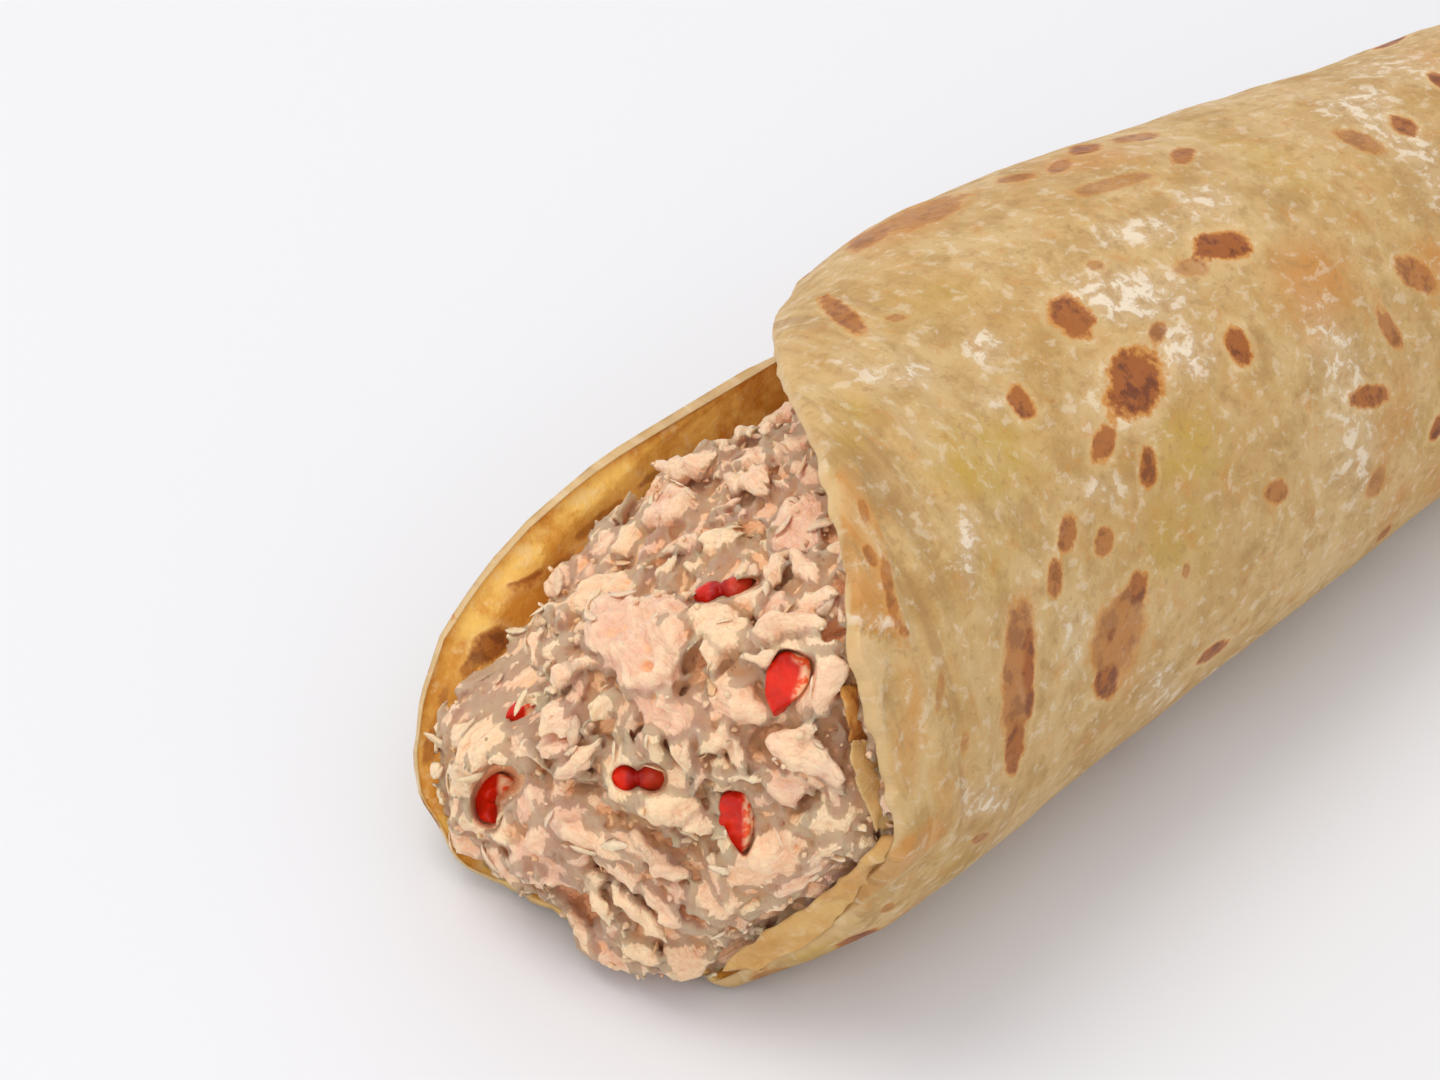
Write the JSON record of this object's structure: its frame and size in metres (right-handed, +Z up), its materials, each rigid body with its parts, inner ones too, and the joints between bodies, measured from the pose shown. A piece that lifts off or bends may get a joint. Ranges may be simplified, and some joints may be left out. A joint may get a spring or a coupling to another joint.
{
  "type": "tuna chapati wrap",
  "caption": "A thin griddled flatbread rolled into a tapering open-ended wrap, its slanted end showing flaky tuna salad with small pieces of red pepper pressed into it.",
  "frame": {"origin": "under the middle of the wrap's box, on the surface it lies on", "axes": "+X runs along the roll from the open front end to the narrow tail, +Y to the far side where the free edge of the bread ends, +Z up"},
  "size_m": [0.174, 0.054, 0.0481],
  "materials": {
    "griddled_bread": "soft matt flatbread, pale yellow-beige with toasted brown spots and whitish flaky patches",
    "tuna_salad": "moist pinkish-beige flakes with a thin cream dressing, satin",
    "red_pepper": "wet glossy red with a paler cut edge"
  },
  "bodies": {
    "root": {"chapati": "griddled_bread", "tuna_filling": "tuna_salad", "pepper_leaf_upper": "red_pepper", "pepper_leaf_lower": "red_pepper", "pepper_pair_upper": "red_pepper", "pepper_pair_middle": "red_pepper", "pepper_hook": "red_pepper", "pepper_sliver": "red_pepper"}
  },
  "joints": []
}
